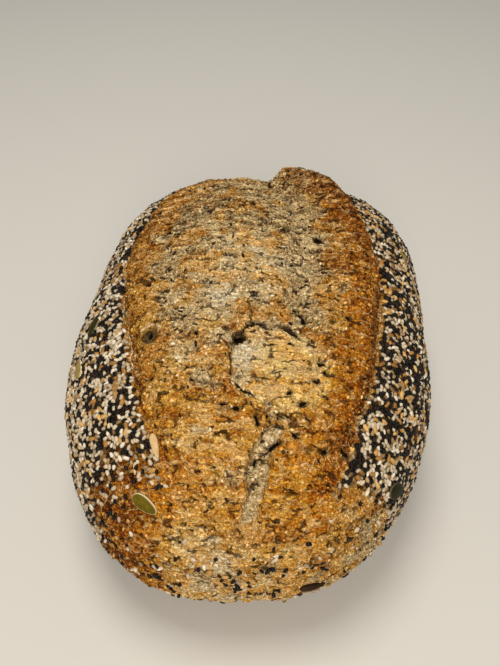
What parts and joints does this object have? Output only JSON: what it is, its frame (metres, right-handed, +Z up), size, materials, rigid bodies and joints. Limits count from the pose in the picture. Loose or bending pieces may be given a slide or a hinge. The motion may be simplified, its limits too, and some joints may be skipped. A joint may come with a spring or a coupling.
{
  "type": "seeded bread",
  "caption": "Oval seeded batard with a burst, torn top crust and sides coated in sesame and larger seeds; rests on its flat baked base.",
  "frame": {"origin": "middle of the loaf's box, on the plane of its flat base", "axes": "+Z up; +Y along the loaf, from the narrow end of the burst to its broad end; +X to the right of that"},
  "size_m": [0.162, 0.2222, 0.1034],
  "materials": {
    "crust": "matt browned wheat crust, mottled gold to dark brown, with grey-beige crumb in the tears",
    "white_sesame": "satin cream seed coat, lightly toasted",
    "black_sesame": "satin black seed coat",
    "golden_seed": "satin golden brown seed coat",
    "sunflower_kernel": "matt grey-tan kernel",
    "pumpkin_seed": "satin olive to dark green seed with a pale rim"
  },
  "bodies": {
    "root": {"loaf": "crust"}
  },
  "joints": []
}
